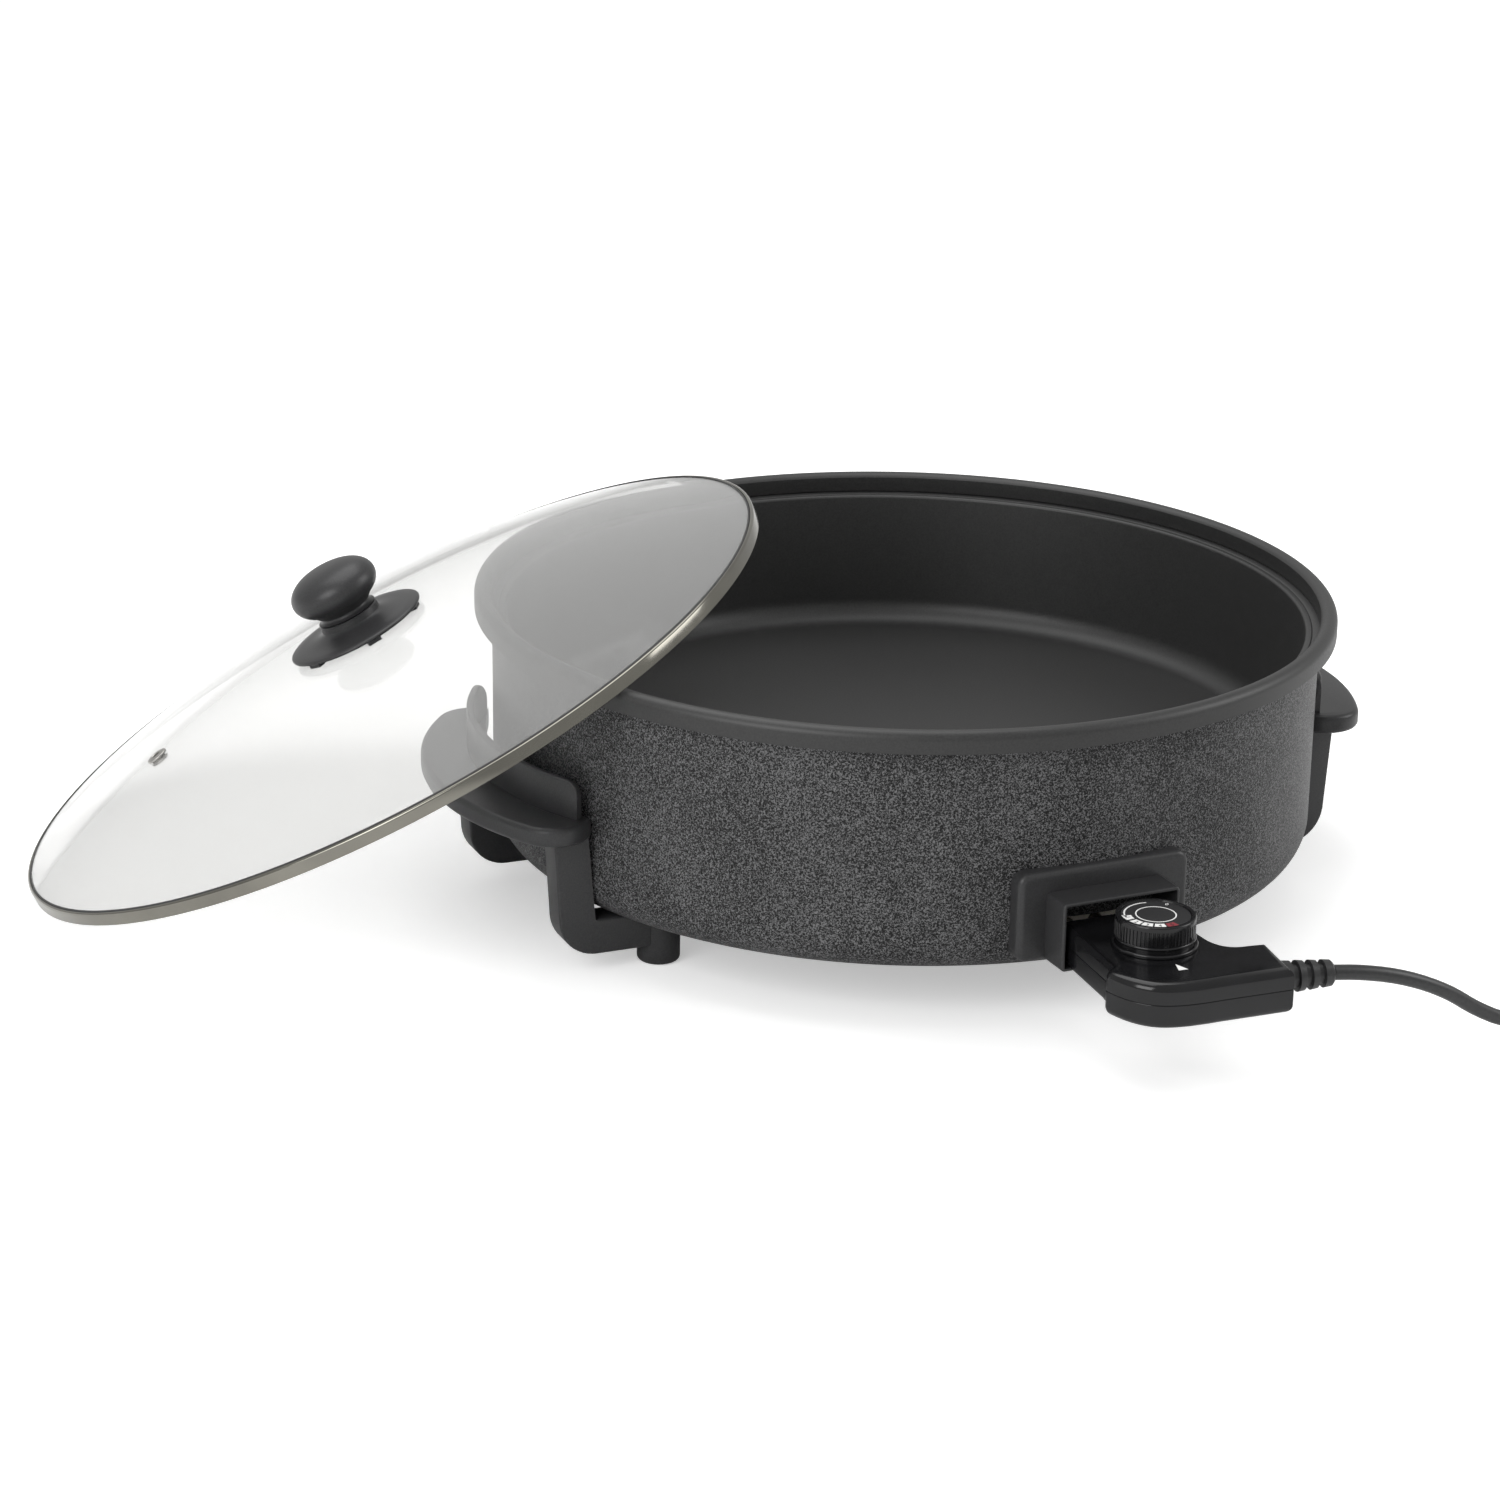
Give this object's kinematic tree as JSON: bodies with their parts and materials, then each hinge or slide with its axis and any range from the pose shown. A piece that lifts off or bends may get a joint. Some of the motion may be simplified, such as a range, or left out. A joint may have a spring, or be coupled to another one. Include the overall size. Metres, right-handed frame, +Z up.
{
  "type": "electric skillet",
  "caption": "Round deep non-stick skillet in a hammered jacket, with two footed side handles, a plug-in dial heat controller on a mains cord and a loose domed glass lid leaning on the rim.",
  "frame": {"origin": "the pan's axis on the upper side of the cooking floor", "axes": "+Z up along the pan's axis; the heat controller is at -Y; the handles are at -X and +X; the lid leans towards -X"},
  "size_m": [0.7928, 0.5998, 0.1886],
  "materials": {
    "pan_coating": "satin black non-stick coating",
    "hammered_jacket": "dark grey hammered paint with light flecks",
    "moulded_handle": "dark grey moulded plastic with a soft sheen",
    "controller_shell": "glossy black",
    "dial_print": "dark face with pale plain figures and one red figure",
    "lid_glass": "clear toughened glass, faint grey-green",
    "rim_steel": "polished steel band",
    "screw_steel": "plated screws and pins",
    "heater_steel": "dull heat-marked steel",
    "contact_brass": "plain brass",
    "terminal_ceramic": "off-white insulator",
    "knob_seal": "black silicone rubber",
    "cord_rubber": "black, slightly glossy"
  },
  "bodies": {
    "pan": {"inner_pan": "pan_coating", "outer_jacket": "hammered_jacket", "inlet_shroud": "moulded_handle", "inlet_block": "terminal_ceramic", "terminal_pin_left": "screw_steel", "terminal_pin_right": "screw_steel", "probe_pocket": "heater_steel", "heating_element": "heater_steel", "element_clip_1": "heater_steel", "element_clip_2": "heater_steel", "element_clip_3": "heater_steel", "shroud_screw_1": "screw_steel", "shroud_screw_2": "screw_steel", "handle_left": "moulded_handle", "handle_right": "moulded_handle", "handle_screw_1": "screw_steel", "handle_screw_2": "screw_steel", "handle_screw_3": "screw_steel", "handle_screw_4": "screw_steel", "foot_left_front": "moulded_handle", "foot_screw_left_front": "screw_steel", "foot_nut_left_front": "screw_steel", "foot_left_rear": "moulded_handle", "foot_screw_left_rear": "screw_steel", "foot_nut_left_rear": "screw_steel", "foot_right_front": "moulded_handle", "foot_screw_right_front": "screw_steel", "foot_nut_right_front": "screw_steel", "foot_right_rear": "moulded_handle", "foot_screw_right_rear": "screw_steel", "foot_nut_right_rear": "screw_steel"},
    "lid": {"glass_lid": "lid_glass", "lid_rim": "rim_steel", "knob_grip": "moulded_handle", "knob_base": "moulded_handle", "knob_screw": "screw_steel", "knob_washer": "knob_seal", "vent_grommet": "rim_steel"},
    "controller": {"controller_top": "controller_shell", "controller_bottom": "controller_shell", "thermostat_frame": "heater_steel", "bimetal_blade": "contact_brass", "probe_rod": "screw_steel", "contact_socket_left": "contact_brass", "contact_socket_right": "contact_brass", "cord_clamp": "controller_shell", "shell_screw_1": "screw_steel", "shell_screw_2": "screw_steel", "strain_relief": "cord_rubber", "power_cord": "cord_rubber", "cord_coil": "cord_rubber", "cord_tie": "cord_rubber", "cord_tail": "cord_rubber", "plug_body": "cord_rubber", "plug_pin_left": "screw_steel", "plug_pin_right": "screw_steel"},
    "dial": {"control_dial": "controller_shell", "dial_face": "dial_print", "dial_shaft": "screw_steel"}
  },
  "joints": [
    {"name": "lid_lift", "type": "slide", "parent": "pan", "child": "lid", "axis": [0, 0, 1], "range_m": [0, 0.25]},
    {"name": "controller_plug", "type": "slide", "parent": "pan", "child": "controller", "axis": [0, -1, 0], "range_m": [0, 0.085]},
    {"name": "dial_turn", "type": "hinge", "parent": "controller", "child": "dial", "pos_m": [0, -0.2515, 0], "axis": [0, 0, 1], "range_deg": [0, 229]}
  ]
}
